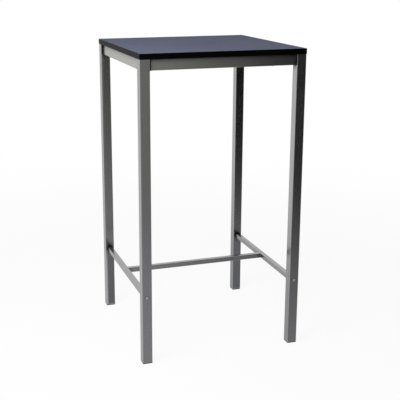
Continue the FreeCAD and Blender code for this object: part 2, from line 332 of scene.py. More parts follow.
def bead_surface(sign_x, sign_y, heel, low, high, rows=73, columns=13):
    """One fillet bead in the corner at heel, from height low to high.

    Across: an arc from the side rail to the cross rail, where arc(t) = (1-t) A + t B plus a bulge
    times the hump 4 t (1-t). Along: the arc is scaled by 1 + ripple * sin(phase), and the phase lags
    by the hump, which bends each ripple into a crescent. The scale falls to nothing at both ends, as
    a quarter circle does, so the bead closes on the heel line.
    """
    along = np.linspace(0, 1, rows)[:, None]
    across = np.linspace(0, 1, columns)[None, :]
    hump = 4 * across * (1 - across)
    ripple = 1 + RIPPLE_DEPTH * np.sin(2 * np.pi * (RIPPLES * along - RIPPLE_LAG * hump)) * hump
    end_fall = np.sqrt(np.clip(1 - np.abs(2 * along - 1) ** END_FULLNESS, 0, 1))
    out_y = BEAD_LEG * ((1 - across) + BEAD_BULGE * hump) * ripple * end_fall
    out_x = BEAD_LEG * (across + BEAD_BULGE * hump) * ripple * end_fall
    out_x, out_y = np.clip(out_x, 0, BEAD_LEG), np.clip(out_y, 0, BEAD_LEG)
    height = low + (high - low) * along + 0 * across
    front = np.stack([heel[0] - sign_x * out_x, heel[1] + sign_y * out_y, height], 2)
    back = np.stack([np.full((rows, 1), heel[0]), np.full((rows, 1), heel[1]), height[:, :1]], 2)
    surface = np.concatenate([front, back], 1)
    return surface[:, ::-1] if sign_x * sign_y < 0 else surface


low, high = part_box("cross_rail_welds")
cross_low, cross_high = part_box("cross_rail")
beads = []
for sign_x, heel_x in ((-1, cross_low.x), (1, cross_high.x)):
    for sign_y, heel_y in ((-1, cross_low.y), (1, cross_high.y)):
        beads.append(bead_surface(sign_x, sign_y, (heel_x, heel_y), low.z, high.z))
fit_piece(grid_mesh("cross_rail_weld_beads", beads), "frame_metal", ["cross_rail_welds"])

# %% [markdown]
# ## Feet
# A moulded plug closes each leg: a 4 mm flange that shows as a dark line above the floor, and a
# hollow spigot inside the tube. The sole has a shallow recess in the middle, so that only a frame
# touches the floor. It could be cut from a block with Booleans, but a section carried round the
# leg's own outline keeps the walls even and the edges round.

# %% Four foot plugs
SOLE_FRAME = 7 * MM
SOLE_RECESS = 0.6 * MM
FLANGE = 4 * MM
SPIGOT_PLAY = 0.3 * MM
SPIGOT_INSET = TUBE_WALL + SPIGOT_PLAY
SPIGOT_WALL = 2.5 * MM
SPIGOT_ROUND = 0.8 * MM
RECESS_ROUND = 0.4 * MM
FLANGE_ROUND = 0.3 * MM
SOLE_EDGE = [(1 * MM, 0), (0.6 * MM, 0.25 * MM), (0.2 * MM, 0.65 * MM), (0, 1.1 * MM)]

for corner in CORNERS:
    node = "foot_" + corner
    size, middle = size_and_middle(node)
    half, top = size[0] / 2, size[2]
    section = np.concatenate([
        [(half, SOLE_RECESS), (SOLE_FRAME + SOLE_RECESS, SOLE_RECESS)],
        rounded_turn((SOLE_FRAME, 0), (half, 0), (0, 0), RECESS_ROUND),
        SOLE_EDGE,
        rounded_turn((0, FLANGE), (0, 0), (half, FLANGE), FLANGE_ROUND),
        [(SPIGOT_INSET, FLANGE)],
        rounded_turn((SPIGOT_INSET, top), (SPIGOT_INSET, 0), (half, top), SPIGOT_ROUND),
        [(SPIGOT_INSET + SPIGOT_WALL, top), (SPIGOT_INSET + SPIGOT_WALL, FLANGE + SPIGOT_WALL),
         (half, FLANGE + SPIGOT_WALL)],
    ])
    plug = carried_section(section, half, half, LEG_ROUND, LEG_CORNER_STEPS)
    foot = grid_mesh(node + "_plug", [moved_to(plug, middle[0], middle[1], 0)])
    fit_piece(foot, "black_nylon", [node])

# %% [markdown]
# ## The top
# The top is a board with a thin decor sheet above and a 2 mm black edge band. A plain box would do
# for the sheet, but its upper edge is eased by a fraction of a millimetre, and that draws the fine
# line round a real laminated top.

# %% Decor sheet
SHEET_EASE = 0.25 * MM
SHEET_CORNER = 0.4 * MM
size, middle = size_and_middle("top_laminate")
half, thickness = size[0] / 2, size[2]
section = np.concatenate([
    [(half, 0), (0, 0)],
    rounded_turn((0, thickness), (0, 0), (half, thickness), SHEET_EASE),
    [(half, thickness)],
])
sheet = carried_section(section, half, size[1] / 2, SHEET_CORNER)
decor = grid_mesh("top_decor_sheet", [moved_to(sheet, middle[0], middle[1], middle[2] - thickness / 2)])
fit_piece(decor, "laminate", ["top_laminate"])

# %% [markdown]
# The band goes round in four strips that meet in the middle of each rounded corner. One closed ring
# would be simpler, but the strips are pieces of their own. So a strip is the same carried section
# over a quarter of the outline only, and its ends are shut by drawing the section to its own middle.

# %% Four strips of edge band
BAND_THICKNESS = 2 * MM
BAND_ROUND = 1 * MM
TOP_CORNER_ROUND = 2 * MM
BAND_CORNER_STEPS = 6
ROUND_STEPS = 5

band_low, band_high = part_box("edge_band_front")
band_bottom, band_top = band_low.z, band_high.z
top_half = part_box("edge_band_right")[1].x
band_section = np.concatenate([
    rounded_turn((0, band_bottom), (BAND_THICKNESS, band_bottom), (0, band_top), BAND_ROUND, ROUND_STEPS),
    rounded_turn((0, band_top), (0, band_bottom), (BAND_THICKNESS, band_top), BAND_ROUND, ROUND_STEPS),
    [(BAND_THICKNESS, band_top), (BAND_THICKNESS, band_bottom)],
])
ring = carried_section(band_section, top_half, top_half, TOP_CORNER_ROUND, BAND_CORNER_STEPS)
stations = ring.shape[1] // 4
half_corner = BAND_CORNER_STEPS // 2
ring = np.roll(ring, -half_corner, axis=1)
for number, side in enumerate(("back", "left", "front", "right")):
    first = number * stations
    strip = np.take(ring, range(first, first + stations + 1), axis=1, mode="wrap")
    ends = strip[:, [0, -1]].mean(axis=0, keepdims=True).repeat(len(strip), axis=0)
    strip = np.concatenate([ends[:, :1], strip, ends[:, 1:]], 1)
    band = grid_mesh("edge_band_%s_strip" % side, [strip], close_rows=True, close_columns=False)
    fit_piece(band, "edge_band", ["edge_band_" + side])

# %% [markdown]
# ## Turned pieces
# Bolts and screws come off a lathe: their radius depends on the height only, except in a bolt's
# socket, where six flats cut the circle to a hexagon. The Screw modifier can spin a profile, but not
# turn its circle into a hexagon. So each row carries a third number: how much of a hexagon it is.


# %% Turned surfaces
def hexagon_reach(angle):
    """Radius of a hexagon with flats one unit from the middle: one over the cosine to the nearest flat."""
    to_flat = (angle + np.pi / 6) % (np.pi / 3) - np.pi / 6
    return 1 / np.cos(to_flat)


def turned(rows, columns=48):
    """A turned surface from (radius, height, hexagon) rows about Z.

    Radius at an angle is radius * ((1 - hexagon) + hexagon * hexagon_reach(angle)).
    """
    radius, height, hexagon = np.asarray(rows, float).T[:, :, None]
    angle = np.linspace(0, 2 * np.pi, columns, endpoint=False)[None, :]
    reach = radius * ((1 - hexagon) + hexagon * hexagon_reach(angle))
    return np.stack([reach * np.cos(angle), reach * np.sin(angle), height + 0 * angle], 2)


def dome_rows(radius, height, rim, flat_radius, steps=8):
    """Rows over a domed head from its rim to its flat: a quarter of an ellipse."""
    angle = np.linspace(0, np.pi / 2, steps + 1)
    reach = flat_radius + (radius - flat_radius) * np.cos(angle)
    rise = rim + (height - rim) * np.sin(angle)
    return np.stack([reach, rise, 0 * angle], 1)


print("hexagon corner reaches", round(float(hexagon_reach(np.radians(30))), 3), "of its flat")

# %% [markdown]
# ## Stretcher bolts
# A button-head bolt goes through each leg into the end of a side rail. Its low dome has a hexagon
# socket with a fine lead-in at the rim. A Boolean could cut the socket, but rows of the same surface
# need no cut and leave clean edges. The four bolts are one node, and stay one piece.

# %% Four button-head bolts
HEAD_RADIUS, HEAD_EDGE, HEAD_RIM = 5.25 * MM, 0.2 * MM, 0.7 * MM
BOLT_RADIUS, BOLT_LENGTH, BOLT_CHAMFER = 3 * MM, 55 * MM, 0.8 * MM
SOCKET_HALF, SOCKET_DEPTH, SOCKET_POINT = 2 * MM, 2 * MM, 0.5 * MM
SOCKET_FLAT, SOCKET_LEAD = 0.7 * MM, 0.25 * MM
leg_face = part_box("leg_back_left")[1].y
head_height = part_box("stretcher_bolts")[1].y - leg_face
socket_floor = head_height - SOCKET_DEPTH
bolt_rows = np.concatenate([
    [(0, -BOLT_LENGTH, 0), (BOLT_RADIUS - BOLT_CHAMFER, -BOLT_LENGTH, 0),
     (BOLT_RADIUS, BOLT_CHAMFER - BOLT_LENGTH, 0), (BOLT_RADIUS, 0, 0),
     (HEAD_RADIUS - HEAD_EDGE, 0, 0), (HEAD_RADIUS, HEAD_EDGE, 0)],
    dome_rows(HEAD_RADIUS, head_height, HEAD_RIM, SOCKET_HALF + SOCKET_FLAT),
    [(SOCKET_HALF + SOCKET_LEAD, head_height, 1), (SOCKET_HALF, head_height - SOCKET_LEAD, 1),
     (SOCKET_HALF, socket_floor, 1), (0, socket_floor - SOCKET_POINT, 0)],
])
bolt = turned(bolt_rows)
rail_middle = size_and_middle("side_rail_left")[1]
bolts = []
for sign_x in (-1, 1):
    for sign_y in (-1, 1):
        x, y, z = np.moveaxis(bolt, 2, 0)
        facing = np.stack([-sign_y * x, sign_y * z, y], 2)
        bolts.append(moved_to(facing, sign_x * abs(rail_middle[0]), sign_y * leg_face, rail_middle[2]))
fit_piece(grid_mesh("stretcher_bolt_set", bolts), "fastener", ["stretcher_bolts"])

# %% [markdown]
# ## Top screws
# The screws that hold the top have pan heads with a cross recess. The recess isn't round at all, and
# a Boolean would leave ragged faces in so small a dome. So the head is worked out as a height over a
# disc: a dome, less a hollow wherever the point lies within half a slot's width of one of the two
# centre lines and within half its length.

# %% Pan-head screws
PAN_RADIUS, PAN_HEIGHT, PAN_RIM, PAN_EDGE = 4 * MM, 2.4 * MM, 0.5 * MM, 0.15 * MM
SCREW_RADIUS = 2 * MM
SLOT_HALF_LENGTH, SLOT_HALF_WIDTH, SLOT_DEPTH, SLOT_SLOPE = 2.1 * MM, 0.5 * MM, 1.2 * MM, 0.18 * MM
SCREW_ALONG = 178.5 * MM


def easing(value, low, high):
    """Zero below low, one above high, and the curve 3t^2 - 2t^3 between them."""
    t = np.clip((value - low) / (high - low), 0, 1)
    return t * t * (3 - 2 * t)


def cross_recess(x, y):
    """One inside the cross, zero outside, with short slopes at its rim.

    An arm is one within half a slot's width, times one within half its length; the larger arm counts.
    """
    arms = []
    for across, along in ((np.abs(x), np.abs(y)), (np.abs(y), np.abs(x))):
        inside_width = 1 - easing(across, SLOT_HALF_WIDTH - SLOT_SLOPE, SLOT_HALF_WIDTH + SLOT_SLOPE)
        inside_length = 1 - easing(along, SLOT_HALF_LENGTH - 3 * SLOT_SLOPE, SLOT_HALF_LENGTH + SLOT_SLOPE)
        arms.append(inside_width * inside_length)
    return np.maximum(*arms)


def pan_screw(length, columns=96, rings=28):
    """A pan-head screw hanging head down from z = 0, its shank up to z = length.

    The head's depth over the disc is rim + (height - rim) * sqrt(1 - share^4), less the recess.
    """
    shank = turned([(0, length, 0), (SCREW_RADIUS, length - 2 * SCREW_RADIUS, 0), (SCREW_RADIUS, 0, 0),
                    (PAN_RADIUS - PAN_EDGE, 0, 0), (PAN_RADIUS, -PAN_EDGE, 0),
                    (PAN_RADIUS, -PAN_RIM, 0)], columns)
    share = np.linspace(1, 0, rings)[1:, None]
    angle = np.linspace(0, 2 * np.pi, columns, endpoint=False)[None, :]
    x, y = PAN_RADIUS * share * np.cos(angle), PAN_RADIUS * share * np.sin(angle)
    dome = PAN_RIM + (PAN_HEIGHT - PAN_RIM) * (1 - share ** 4) ** 0.5
    height = -(dome - SLOT_DEPTH * cross_recess(x, y))
    return np.concatenate([shank, np.stack([x, y, height], 2)])


screws_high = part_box("top_screws")[1]
apron_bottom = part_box("apron_front")[0].z
screw = pan_screw(screws_high.z - apron_bottom)
screw_out = screws_high.x - PAN_RADIUS
screws = []
for x, y in ((SCREW_ALONG, -screw_out), (screw_out, SCREW_ALONG),
             (-SCREW_ALONG, screw_out), (-screw_out, -SCREW_ALONG)):
    screws.append(moved_to(screw, x, y, apron_bottom)[:, ::-1])
fit_piece(grid_mesh("top_screw_set", screws), "fastener", ["top_screws"])

# %% [markdown]
# ## Pieces kept from the frame
# The corner connectors are moulded in one piece each: only their black shoulders show, between leg
# and apron. A new surface would gain nothing, since their solid has the right shape already, so a
# merged copy of it is shaded like the rest. The board's core, its backing sheet, and the inserts and
# sleeves inside the tubes stay as they are.

# %% Connectors
for corner in CORNERS:
    node = "connector_" + corner
    connector = put_in_scene(node + "_moulding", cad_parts[node].data.copy())
    fit_piece(connector, "black_nylon", [node])

# %% [markdown]
# ## Shared effects
# Four small node groups serve the finishes. Each takes a few plain inputs and gives back one value
# that changes over the surface; the shaders stay outside, in each finish. The same nodes could be
# laid anew in every material, but a group is built once, so a change to it reaches every finish.


# %% Node helpers
def feed(tree, socket, value):
    """Link an output to an input, or set the input to a plain value."""
    if isinstance(value, bpy.types.NodeSocket):
        tree.links.new(value, socket)
    else:
        socket.default_value = value


def add_node(tree, kind, *values, **settings):
    """A new node. Values feed its inputs in order; settings name an input or a property.

    Underscores stand for the spaces in an input's name. Any value may be another node's output.
    """
    made = tree.nodes.new(kind)
    for socket, value in zip(made.inputs, values):
        feed(tree, socket, value)
    for key, value in settings.items():
        name = key.replace("_", " ")
        if name in made.inputs.keys():
            feed(tree, made.inputs[name], value)
        else:
            setattr(made, key, value)
    return made


def calc(tree, operation, *values, **settings):
    """The result of one sum, on plain values or outputs."""
    return add_node(tree, "ShaderNodeMath", *values, operation=operation, **settings).outputs["Value"]


def remap(tree, value, low, high, to_low=0.0, to_high=1.0, **settings):
    """A value stretched from one range to another, and held within it."""
    made = add_node(tree, "ShaderNodeMapRange", value, low, high, to_low, to_high, **settings)
    return made.outputs["Result"]


def parts_of(tree, vector):
    """The x, y and z of a vector."""
    return add_node(tree, "ShaderNodeSeparateXYZ", vector).outputs[:]


def new_group(name, output, **inputs):
    """A node group with one float output; an input is a float with its usual value, or a vector if None.

    Returns the group, what it is given and the socket of its output.
    """
    group = bpy.data.node_groups.new(name, "ShaderNodeTree")
    for socket_name, value in inputs.items():
        kind = "NodeSocketVector" if value is None else "NodeSocketFloat"
        socket = group.interface.new_socket(socket_name, in_out="INPUT", socket_type=kind)
        if value is not None:
            socket.default_value = value
    group.interface.new_socket(output, in_out="OUTPUT", socket_type="NodeSocketFloat")
    given = group.nodes.new("NodeGroupInput").outputs
    return group, given, group.nodes.new("NodeGroupOutput").inputs[output]


# %% [markdown]
# Soft clouds are broad, slow noise, stretched to run from zero to one. No coat is quite even, so
# they shift a colour or a gloss by a few percent. The scale says how broad they are.

# %% Group: soft clouds
CLOUD_LOW, CLOUD_HIGH = 0.32, 0.68
clouds, given, mask = new_group("soft_clouds", "Mask", Vector=None, Scale=6.0)
broad = add_node(clouds, "ShaderNodeTexNoise", Vector=given["Vector"], Scale=given["Scale"],
                 Detail=3.0, Roughness=0.55)
feed(clouds, mask, remap(clouds, broad.outputs["Fac"], CLOUD_LOW, CLOUD_HIGH))

# %% [markdown]
# Fine grain is small rounded cells with finer noise over them. By its scale it is the skin of a
# lacquer, the pearl of a laminate or the sparkle of a moulding. It feeds a bump.

# %% Group: fine grain
PITS_TO_CELLS = 2.3
PITS_SHARE = 0.6
grain, given, height = new_group("fine_grain", "Height", Vector=None, Scale=900.0)
cells = add_node(grain, "ShaderNodeTexVoronoi", feature="SMOOTH_F1", Smoothness=0.7,
                 Vector=given["Vector"], Scale=given["Scale"])
pits = add_node(grain, "ShaderNodeTexNoise", Vector=given["Vector"], Detail=2.0, Roughness=0.6,
                Scale=calc(grain, "MULTIPLY", given["Scale"], PITS_TO_CELLS))
feed(grain, height, calc(grain, "MULTIPLY_ADD", pits.outputs["Fac"], PITS_SHARE, cells.outputs["Distance"]))

# %% [markdown]
# Streaks are noise drawn out along a tube. They read the piece's own UV map, whose second number
# runs along the tube in metres: many to the metre across, few along. Object coordinates would run
# them the same way on every tube.

# %% Group: streaks along the run
streaks, given, streak = new_group("run_streaks", "Streak", Vector=None, Width=1500.0, Length=12.0)
stretch = add_node(streaks, "ShaderNodeCombineXYZ", given["Width"], given["Length"])
scaled = add_node(streaks, "ShaderNodeVectorMath", given["Vector"], stretch.outputs["Vector"],
                  operation="MULTIPLY")
lines = add_node(streaks, "ShaderNodeTexNoise", Vector=scaled.outputs["Vector"], Scale=1.0,
                 Detail=4.0, Roughness=0.65)
feed(streaks, streak, lines.outputs["Fac"])

# %% [markdown]
# Where two tubes meet, each mirrors only the other, and the corner is dark. This group paints that
# shade into the lacquer's colour. Corners could be painted by hand, but ambient occlusion finds them
# by itself. It measures how open the half-sphere over a point is within a reach: all of it on a free
# face, half of it beside a second face at a right angle. The group stretches that to 0 to 1, and the
# finish multiplies its colour by it: painted shade in the corners, round the rail ends and under the
# top's overhang. A pale floor is no dark corner, so whatever stands lower than the reach counts as open.

# %% Group: corner shade
BESIDE_A_FACE, FREE_FACE = 0.5, 0.97
# The Open mask darkens colour where corners are shaded: painted shade.
corner_shade, given, is_open = new_group("corner_shade", "Open", Vector=None, Reach=0.02)
openness = add_node(corner_shade, "ShaderNodeAmbientOcclusion", samples=6, Distance=given["Reach"])
free_share = remap(corner_shade, openness.outputs["AO"], BESIDE_A_FACE, FREE_FACE)
over_floor = parts_of(corner_shade, given["Vector"])[2]
by_the_floor = calc(corner_shade, "LESS_THAN", over_floor, given["Reach"])
feed(corner_shade, is_open, calc(corner_shade, "MAXIMUM", free_share, by_the_floor))
print("node groups:", [group.name for group in bpy.data.node_groups])

# %% [markdown]
# ## Finishes
# A finish is the Principled shader with its plain numbers set on its own sockets. Colour, roughness
# and the bump's height come from the groups, and one helper feeds all three.


# %% Finish helpers
def new_finish(name, low, high, metallic=0.0, specular=0.5):
    """A material with one Principled shader, coloured midway; returns it, its tree and the shader."""
    middle = (*np.mean([low, high], axis=0), 1)
    material = bpy.data.materials.new(name)
    material.use_nodes = True
    material.diffuse_color = middle
    shader = material.node_tree.nodes["Principled BSDF"]
    shader.inputs["Base Color"].default_value = middle
    shader.inputs["Metallic"].default_value = metallic
    shader.inputs["Specular IOR Level"].default_value = specular
    return material, material.node_tree, shader


def place_group(tree, group, **values):
    """The output of a group, placed with this material's own values."""
    made = tree.nodes.new("ShaderNodeGroup")
    made.node_tree = group
    for name, value in values.items():
        feed(tree, made.inputs[name], value)
    return made.outputs[0]


def tint(tree, mask, low, high):
    """Colour from low to high by a mask."""
    ramp = add_node(tree, "ShaderNodeValToRGB", mask)
    ramp.color_ramp.elements[0].color = (*low, 1)
    ramp.color_ramp.elements[1].color = (*high, 1)
    return ramp.outputs["Color"]


def dress(tree, shader, colours, roughness, height, depth):
    """Feed a shader with colours, a roughness, and a bump from a height and its depth in metres."""
    bump = add_node(tree, "ShaderNodeBump", Strength=1.0, Distance=depth, Height=height)
    feed(tree, shader.inputs["Base Color"], colours)
    feed(tree, shader.inputs["Roughness"], roughness)
    feed(tree, shader.inputs["Normal"], bump.outputs["Normal"])


def object_place(tree):
    """The place on the object, in metres."""
    return add_node(tree, "ShaderNodeTexCoord").outputs["Object"]


def run_place(tree):
    """The piece's own UV map: round it, then along it, in metres."""
    return add_node(tree, "ShaderNodeUVMap", uv_map="run").outputs["UV"]


def paint(material, *names):
    """Give a material to pieces by name."""
    for name in names:
        piece = bpy.data.objects[name]
        piece.data.materials.clear()
        piece.data.materials.append(material)


# %% [markdown]
# ### Satin silver frame
# The frame is lacquered a satin silver-grey. It mirrors what stands round it, blurred: broad, calm
# faces, light where they face the white wall and dark where they face the unlit side of the room.
# Grey paint with a gradient could look alike from one side, but a metallic shader is right from all.
# The aprons get a lighter, warmer copy of the same lacquer, which paints in the extra light they
# show over the legs and the stretcher, so one function makes both finishes.

# %% Frame metal
CORNER_REACH = 22 * MM
LACQUER_SKIN = 0.0004 * MM


def satin_silver(name, low, high, grazing):
    """Lacquer between two shades; grazing is its tint where it is seen almost along the surface."""
    finish, tree, shader = new_finish(name, low, high, metallic=0.96)
    shader.inputs["Specular Tint"].default_value = (*grazing, 1)
    place = object_place(tree)
    streak = place_group(tree, streaks, Vector=run_place(tree), Width=2600.0, Length=16.0)
    is_open = place_group(tree, corner_shade, Vector=place, Reach=CORNER_REACH)
    cloud = place_group(tree, clouds, Vector=place, Scale=9.0)
    skin = place_group(tree, grain, Vector=place, Scale=700.0)
    # The lacquer's colours times the corner shade: painted shade in the corners and under the top.
    shades = add_node(tree, "ShaderNodeVectorMath", tint(tree, streak, low, high), is_open,
                      operation="MULTIPLY")
    dress(tree, shader, shades.outputs["Vector"], remap(tree, cloud, 0, 1, 0.18, 0.22), skin, LACQUER_SKIN)
    return finish


leg_silver = satin_silver("satin_silver", (0.388, 0.388, 0.388), (0.428, 0.428, 0.428), (0.72, 0.72, 0.73))
# The aprons' copy is lighter and warmer: painted light.
apron_lit_silver = satin_silver("satin_silver_aprons_lit", (0.515, 0.510, 0.492), (0.555, 0.550, 0.532),
                            (0.62, 0.62, 0.62))
metal_names = [o.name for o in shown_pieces() if o.get("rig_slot") == "frame_metal"]
apron_names = [name for name in metal_names if name.startswith("apron")]
paint(leg_silver, *metal_names)
paint(apron_lit_silver, *apron_names)
print("satin silver on", len(metal_names), "pieces,", len(apron_names), "of them aprons")

# %% [markdown]
# ### Slate-grey decor
# The top is a dark slate-blue laminate with a faint mottle and a fine pearl texture. It is nearly
# matt, so it keeps its colour even when it is seen almost along its surface. A scan of a laminate
# would do as well, but noise has no seams and stays sharp from near by.

# %% Decor
SLATE_LOW, SLATE_HIGH = (0.079, 0.091, 0.134), (0.091, 0.103, 0.150)
slate, tree, shader = new_finish("slate_decor", SLATE_LOW, SLATE_HIGH, specular=0.006)
place = object_place(tree)
mottle = place_group(tree, clouds, Vector=place, Scale=90.0)
haze = place_group(tree, clouds, Vector=place, Scale=4.0)
pearl = place_group(tree, grain, Vector=place, Scale=1300.0)
dress(tree, shader, tint(tree, mottle, SLATE_LOW, SLATE_HIGH), remap(tree, haze, 0, 1, 0.52, 0.60),
      pearl, 0.01 * MM)
paint(slate, "top_decor_sheet")

# %% [markdown]
# ### Black edge band
# The band is extruded plastic, black through and through, so faint lines follow its run. A wave
# texture would be too even, so they come from the same streaks as on the metal, with the UV map
# turned a quarter.

# %% Edge band
BAND_LOW, BAND_HIGH = (0.001, 0.001, 0.001), (0.002, 0.002, 0.0021)
band_black, tree, shader = new_finish("band_black", BAND_LOW, BAND_HIGH, specular=0.025)
quarter_turn = add_node(tree, "ShaderNodeMapping", run_place(tree), Rotation=(0, 0, np.pi / 2))
drawn_lines = place_group(tree, streaks, Vector=quarter_turn.outputs["Vector"], Width=5200.0, Length=14.0)
cloud = place_group(tree, clouds, Vector=object_place(tree), Scale=14.0)
dress(tree, shader, tint(tree, cloud, BAND_LOW, BAND_HIGH), remap(tree, drawn_lines, 0, 1, 0.38, 0.48),
      drawn_lines, 0.006 * MM)
paint(band_black, *["edge_band_%s_strip" % side for side in SIDES])

# %% [markdown]
# ### Black mouldings and backing sheet
# Feet, connectors and inserts are nylon from a spark-eroded mould. Plain rough black would look like
# rubber: a mould's skin has a fine, even sparkle, and its gloss drifts a little where the plastic
# flowed. The backing sheet, which keeps the board from bowing, is pressed against such a skin too,
# only larger, so one function makes both.


# %% Mouldings and backing
def grained_black(name, low, high, drift_scale, grain_scale):
    """Dark plastic with a fine even grain and a slow drift of shade and gloss."""
    finish, tree, shader = new_finish(name, low, high, specular=0.4)
    place = object_place(tree)
    drift = place_group(tree, clouds, Vector=place, Scale=drift_scale)
    sparkle = place_group(tree, grain, Vector=place, Scale=grain_scale)
    dress(tree, shader, tint(tree, drift, low, high), remap(tree, drift, 0, 1, 0.44, 0.56),
          sparkle, 0.02 * MM)
    return finish


nylon = grained_black("moulded_black", (0.011, 0.011, 0.012), (0.019, 0.019, 0.020), 60.0, 1700.0)
backing = grained_black("backing_sheet", (0.025, 0.024, 0.023), (0.038, 0.037, 0.036), 11.0, 1100.0)
for name in ("foot_%s_plug", "connector_%s_moulding", "rail_insert_%s"):
    paint(nylon, *[name % corner for corner in CORNERS])
paint(backing, "top_backer")

# %% [markdown]
# ### Bright fasteners and brass sleeves
# Zinc-plated heads are bright, with a hint of blue and gold. The sleeves in the rail ends are turned
# brass. An anisotropic shader could draw their turning marks, but pieces so small show only small
# scuffs, so one function makes both from two shades.


# %% Fasteners and sleeves
def bare_metal(name, low, high, sheen_scale, scuff_scale, gloss):
    """Bare metal that drifts between two shades, with scuffs that raise its roughness."""
    finish, tree, shader = new_finish(name, low, high, metallic=1.0)
    place = object_place(tree)
    scuff = place_group(tree, grain, Vector=place, Scale=scuff_scale)
    sheen = place_group(tree, clouds, Vector=place, Scale=sheen_scale)
    dress(tree, shader, tint(tree, sheen, low, high), remap(tree, scuff, 0, 1, *gloss), scuff, 0.006 * MM)
    return finish


zinc = bare_metal("bright_zinc", (0.80, 0.81, 0.83), (0.90, 0.88, 0.84), 420.0, 2600.0, (0.30, 0.45))
brass = bare_metal("turned_brass", (0.62, 0.43, 0.17), (0.76, 0.57, 0.28), 300.0, 2200.0, (0.22, 0.40))
paint(zinc, "stretcher_bolt_set", "top_screw_set")
paint(brass, "rail_insert_sleeves")

# %% [markdown]
# ### Pressed board
# The board is pressed wood chips: random cells, each with its own tone. The decor, the band and the
# backing sheet cover all of it, so cells are enough, without the grain inside each chip.

# %% Pressed chips
CHIP_LOW, CHIP_HIGH = (0.30, 0.19, 0.09), (0.56, 0.42, 0.26)
chips, tree, shader = new_finish("pressed_chips", CHIP_LOW, CHIP_HIGH, specular=0.3)
flakes = add_node(tree, "ShaderNodeTexVoronoi", object_place(tree), Scale=420.0).outputs
chip_tone = add_node(tree, "ShaderNodeSeparateColor", flakes["Color"])
dress(tree, shader, tint(tree, chip_tone.outputs["Red"], CHIP_LOW, CHIP_HIGH),
      remap(tree, flakes["Distance"], 0, 1, 0.66, 0.86), flakes["Distance"], 0.2 * MM)
paint(chips, "top_core")

# %% [markdown]
# ## Camera
# The view is a little above the top's height, from the front left, with a long lens. The lens is
# given by how many pixels of a 400 pixel picture its focal length spans, and a small shift sets the
# framing. A Track To constraint could aim the camera, but two plain angles can be read and kept.

# %% Camera
PICTURE = 400
SENSOR = 36
FOCAL_PIXELS = 842.6
OPTICAL_X, OPTICAL_Y = 180.0, 182.0
YAW, PITCH = 17.972, 14.542
CAMERA_PLACE = (-1.0208, -2.9488, 1.3833)

camera_data = bpy.data.cameras.new("camera")
camera_data.sensor_width = SENSOR
camera_data.lens = FOCAL_PIXELS * SENSOR / PICTURE
camera_data.shift_x = (PICTURE / 2 - OPTICAL_X) / PICTURE
camera_data.shift_y = (OPTICAL_Y - PICTURE / 2) / PICTURE
camera = put_in_scene("camera", camera_data)
camera.location = CAMERA_PLACE
camera.rotation_euler = (np.radians(90 - PITCH), 0, np.radians(-YAW))
bpy.context.scene.camera = camera
print("lens", round(camera_data.lens, 2), "mm, distance", round(camera.location.length, 2), "m")

# %% [markdown]
# ## Who sees the white room
# The room is white for the camera and in the gloss of metal and lacquer, but it lights the table at
# a plain, softer level. Light Path tells the kinds of ray apart. One helper joins the three kinds
# that should see white; the floor and the world both use it.


# %% Rays that see white
def rays_that_see(tree):
    """One for camera, glossy and transmission rays, zero for rays that only carry light."""
    rays = add_node(tree, "ShaderNodeLightPath").outputs
    seen = calc(tree, "MAXIMUM", rays["Is Camera Ray"], rays["Is Glossy Ray"])
    return calc(tree, "MAXIMUM", seen, rays["Is Transmission Ray"])


def mix_shaders(tree, share, first, second):
    """The first shader where the share is zero, the second where it is one."""
    return add_node(tree, "ShaderNodeMixShader", share, first, second).outputs["Shader"]


# %% [markdown]
# ## Floor
# A plain pale floor. Near the table a share of it is a lit surface, which keeps the soft shadow;
# the rest glows white. Further out the glow takes over, so the floor runs into the white room
# without a horizon. In the gloss of the legs it is a little darker under the table than to the left
# of it, where the light comes from. From beneath it is clear, so that the underside can be looked at.

# %% Floor
FLOOR_HALF = 20.0
UNDER_TABLE = 0.66
PALE = (0.85, 0.85, 0.85)
# Each change: where it starts and ends, in metres, and its value at both.
GLOW_SHARE = (0.6, 3.2, 0.9, 1.0)
GLOSS_OUTWARDS = (0.2, 2.8, UNDER_TABLE, 1.0)
GLOSS_TO_THE_RIGHT = (-0.5, 0.1, 1.0, UNDER_TABLE)
floor_mesh = bpy.data.meshes.new("floor")
floor_corners = np.array([(-1, -1, 0), (1, -1, 0), (1, 1, 0), (-1, 1, 0)]) * FLOOR_HALF
floor_mesh.from_pydata(floor_corners.tolist(), [], [(0, 1, 2, 3)])
floor = put_in_scene("floor", floor_mesh)

pale, tree, shader = new_finish("pale_floor", PALE, PALE, specular=0.0)
shader.inputs["Roughness"].default_value = 0.9
place = object_place(tree)
x = parts_of(tree, place)[0]
distance = add_node(tree, "ShaderNodeVectorMath", place, operation="LENGTH").outputs["Value"]
camera_sees = add_node(tree, "ShaderNodeLightPath").outputs["Is Camera Ray"]
glow_share = remap(tree, distance, *GLOW_SHARE, interpolation_type="SMOOTHSTEP")
in_gloss = calc(tree, "MAXIMUM", remap(tree, distance, *GLOSS_OUTWARDS),
                remap(tree, x, *GLOSS_TO_THE_RIGHT))
glow = add_node(tree, "ShaderNodeEmission", Strength=calc(tree, "MAXIMUM", in_gloss, camera_sees))
share = calc(tree, "MULTIPLY", rays_that_see(tree), glow_share)
upper_side = mix_shaders(tree, share, shader.outputs["BSDF"], glow.outputs["Emission"])
from_beneath = add_node(tree, "ShaderNodeNewGeometry").outputs["Backfacing"]
clear = add_node(tree, "ShaderNodeBsdfTransparent").outputs["BSDF"]
feed(tree, tree.nodes["Material Output"].inputs["Surface"],
     mix_shaders(tree, from_beneath, upper_side, clear))
floor.data.materials.append(pale)

# %% [markdown]
# ## Light
# The white room gives most of the light, at less than half the strength at which it is seen. A
# picture of a real room could do it, but its windows and walls would show in the metal.

